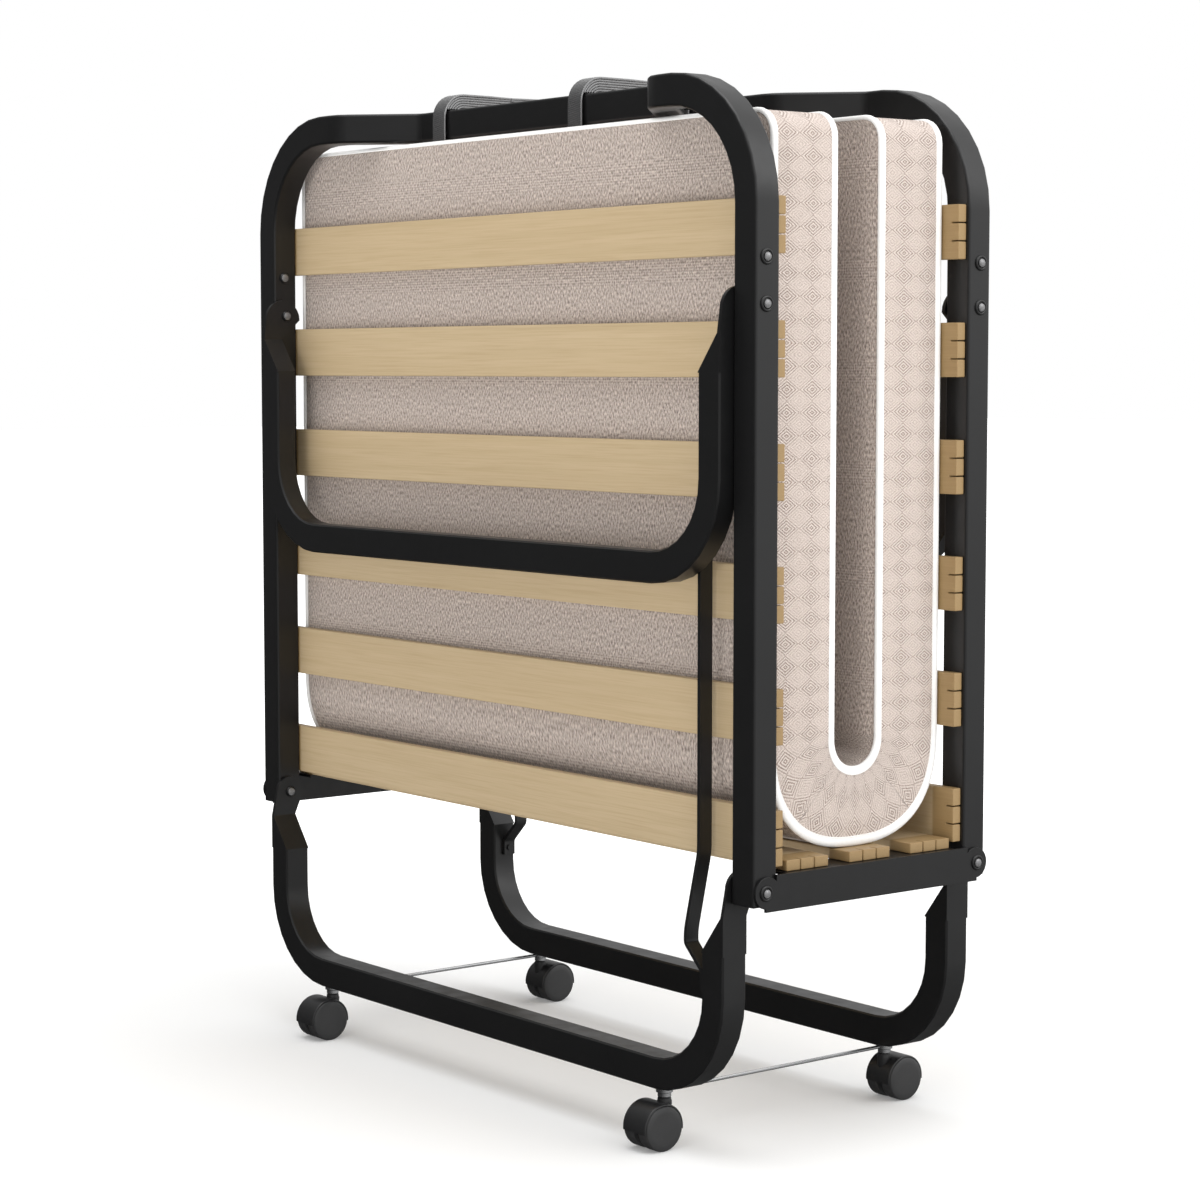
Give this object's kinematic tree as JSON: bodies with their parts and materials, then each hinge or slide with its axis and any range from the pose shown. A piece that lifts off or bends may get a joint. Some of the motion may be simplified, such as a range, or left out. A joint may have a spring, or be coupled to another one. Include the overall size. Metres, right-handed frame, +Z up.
{
  "type": "folding rollaway bed",
  "caption": "Folding guest bed with slatted steel frames and a folded mattress, standing upright on swivel casters with hinged end legs.",
  "frame": {"origin": "on the floor under the middle of the folded bed", "axes": "+X to the right across the bed's width, +Y through its folded thickness to the back, +Z up"},
  "size_m": [0.894, 0.3782, 1.0718],
  "materials": {
    "painted_tube": "satin black powder coat",
    "slat_wood": "clear-coated pale beech laminate",
    "mattress_ticking": "embossed woven ticking with white piping",
    "strap_webbing": "woven webbing",
    "rivet_steel": "black painted rivet",
    "bright_steel": "bright zinc plated",
    "caster_plastic": "moulded black",
    "wheel_plastic": "moulded black tread"
  },
  "bodies": {
    "base": {"centre_rail_left": "painted_tube", "centre_rail_right": "painted_tube", "spacer_rod_left": "bright_steel", "spacer_rod_right": "bright_steel", "centre_slat_1": "slat_wood", "centre_slat_2": "slat_wood", "centre_slat_3": "slat_wood", "mattress_bend": "mattress_ticking", "front_wheel_frame": "painted_tube", "front_left_hinge_rivet": "rivet_steel", "front_left_caster_stem": "bright_steel", "front_right_hinge_rivet": "rivet_steel", "front_right_caster_stem": "bright_steel", "back_wheel_frame": "painted_tube", "back_left_hinge_rivet": "rivet_steel", "back_left_caster_stem": "bright_steel", "back_right_hinge_rivet": "rivet_steel", "back_right_caster_stem": "bright_steel"},
    "front_deck": {"front_deck_frame": "painted_tube", "front_slat_1": "slat_wood", "front_slat_2": "slat_wood", "front_slat_3": "slat_wood", "front_slat_4": "slat_wood", "front_slat_5": "slat_wood", "front_slat_6": "slat_wood", "front_left_leg_rivet": "rivet_steel", "front_left_stop_rivet": "rivet_steel", "front_right_leg_rivet": "rivet_steel", "front_right_stop_rivet": "rivet_steel", "front_mattress_panel": "mattress_ticking", "front_strap_1": "strap_webbing", "front_strap_2": "strap_webbing"},
    "front_leg": {"front_end_leg": "painted_tube"},
    "front_link": {"front_link_bar": "painted_tube"},
    "front_left_fork": {"front_left_caster_hood": "caster_plastic"},
    "front_left_wheels": {"front_left_caster_wheels": "wheel_plastic"},
    "front_right_fork": {"front_right_caster_hood": "caster_plastic"},
    "front_right_wheels": {"front_right_caster_wheels": "wheel_plastic"},
    "back_deck": {"back_deck_frame": "painted_tube", "back_slat_1": "slat_wood", "back_slat_2": "slat_wood", "back_slat_3": "slat_wood", "back_slat_4": "slat_wood", "back_slat_5": "slat_wood", "back_slat_6": "slat_wood", "back_left_leg_rivet": "rivet_steel", "back_left_stop_rivet": "rivet_steel", "back_right_leg_rivet": "rivet_steel", "back_right_stop_rivet": "rivet_steel", "back_mattress_panel": "mattress_ticking", "back_strap_1": "strap_webbing", "back_strap_2": "strap_webbing"},
    "back_leg": {"back_end_leg": "painted_tube"},
    "back_link": {"back_link_bar": "painted_tube"},
    "back_left_fork": {"back_left_caster_hood": "caster_plastic"},
    "back_left_wheels": {"back_left_caster_wheels": "wheel_plastic"},
    "back_right_fork": {"back_right_caster_hood": "caster_plastic"},
    "back_right_wheels": {"back_right_caster_wheels": "wheel_plastic"}
  },
  "joints": [
    {"name": "front_deck_fold", "type": "hinge", "parent": "base", "child": "front_deck", "pos_m": [0, -0.1415, 0.2725], "axis": [1, 0, 0], "range_deg": [0, 90]},
    {"name": "front_leg_fold", "type": "hinge", "parent": "front_deck", "child": "front_leg", "pos_m": [0, -0.1415, 0.83], "axis": [1, 0, 0], "range_deg": [-90, 0]},
    {"name": "front_link_swing", "type": "hinge", "parent": "base", "child": "front_link", "pos_m": [0.3734, -0.155, 0.18], "axis": [1, 0, 0], "range_deg": [0, 90]},
    {"name": "back_deck_fold", "type": "hinge", "parent": "base", "child": "back_deck", "pos_m": [0, 0.1415, 0.2725], "axis": [-1, 0, 0], "range_deg": [0, 90]},
    {"name": "back_leg_fold", "type": "hinge", "parent": "back_deck", "child": "back_leg", "pos_m": [0, 0.1415, 0.83], "axis": [-1, 0, 0], "range_deg": [-90, 0]},
    {"name": "back_link_swing", "type": "hinge", "parent": "base", "child": "back_link", "pos_m": [-0.3734, 0.155, 0.18], "axis": [-1, 0, 0], "range_deg": [0, 90]},
    {"name": "front_left_swivel", "type": "hinge", "parent": "base", "child": "front_left_fork", "pos_m": [-0.302, -0.15, 0.05], "axis": [0, 0, 1], "continuous": true},
    {"name": "front_left_roll", "type": "hinge", "parent": "front_left_fork", "child": "front_left_wheels", "pos_m": [-0.302, -0.1645, 0.0228], "axis": [1, 0, 0], "continuous": true},
    {"name": "front_right_swivel", "type": "hinge", "parent": "base", "child": "front_right_fork", "pos_m": [0.302, -0.15, 0.05], "axis": [0, 0, 1], "continuous": true},
    {"name": "front_right_roll", "type": "hinge", "parent": "front_right_fork", "child": "front_right_wheels", "pos_m": [0.302, -0.1645, 0.0228], "axis": [1, 0, 0], "continuous": true},
    {"name": "back_left_swivel", "type": "hinge", "parent": "base", "child": "back_left_fork", "pos_m": [-0.302, 0.15, 0.05], "axis": [0, 0, 1], "continuous": true},
    {"name": "back_left_roll", "type": "hinge", "parent": "back_left_fork", "child": "back_left_wheels", "pos_m": [-0.302, 0.1645, 0.0228], "axis": [1, 0, 0], "continuous": true},
    {"name": "back_right_swivel", "type": "hinge", "parent": "base", "child": "back_right_fork", "pos_m": [0.302, 0.15, 0.05], "axis": [0, 0, 1], "continuous": true},
    {"name": "back_right_roll", "type": "hinge", "parent": "back_right_fork", "child": "back_right_wheels", "pos_m": [0.302, 0.1645, 0.0228], "axis": [1, 0, 0], "continuous": true}
  ],
  "couplings": [
    {"joint": "front_leg_fold", "follows": "front_deck_fold", "ratio": -1},
    {"joint": "front_link_swing", "follows": "front_deck_fold", "ratio": 1},
    {"joint": "back_leg_fold", "follows": "back_deck_fold", "ratio": -1},
    {"joint": "back_link_swing", "follows": "back_deck_fold", "ratio": 1}
  ]
}
